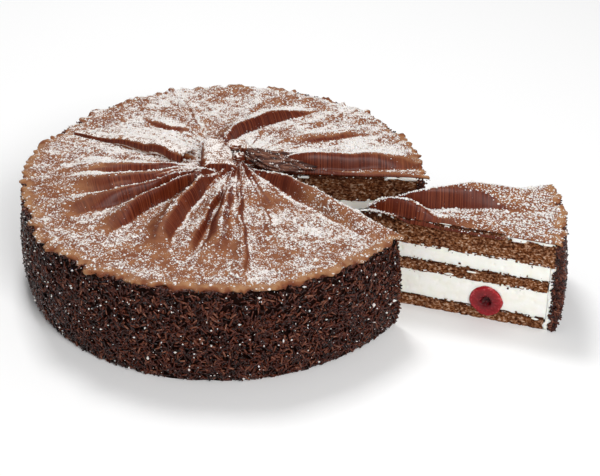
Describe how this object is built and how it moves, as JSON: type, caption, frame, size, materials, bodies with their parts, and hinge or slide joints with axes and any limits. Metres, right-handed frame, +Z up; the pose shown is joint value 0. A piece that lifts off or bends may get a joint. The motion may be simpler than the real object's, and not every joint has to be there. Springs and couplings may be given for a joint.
{
  "type": "black forest cake",
  "caption": "Round layered cherry and cream cake under a pleated chocolate sheet, with a slice drawn out that shows its layers.",
  "frame": {"origin": "the middle of the whole thing's footprint, on the surface it stands on", "axes": "+X runs from the cake outwards along the centreline of the drawn-out slice, and +Z is up"},
  "size_m": [0.3876, 0.293, 0.0951],
  "materials": {
    "sponge": "open brown crumb",
    "whipped_cream": "soft satin",
    "sprinkles": "dark short rods, satin gloss",
    "chocolate": "milk chocolate, satin",
    "cherry": "wet gloss",
    "powdered_sugar": "fine white powder"
  },
  "bodies": {
    "root": {"cake_base_sponge": "sponge", "cake_lower_cream": "whipped_cream", "cake_middle_sponge": "sponge", "cake_upper_cream": "whipped_cream", "cake_top_sponge": "sponge", "cake_cream_coat": "whipped_cream", "cake_sprinkle_coat": "sprinkles", "cake_chocolate_sheet": "chocolate", "cake_cherry": "cherry", "slice_base_sponge": "sponge", "slice_lower_cream": "whipped_cream", "slice_middle_sponge": "sponge", "slice_upper_cream": "whipped_cream", "slice_top_sponge": "sponge", "slice_cream_coat": "whipped_cream", "slice_sprinkle_coat": "sprinkles", "slice_chocolate_sheet": "chocolate", "slice_cherry": "cherry"}
  },
  "joints": []
}
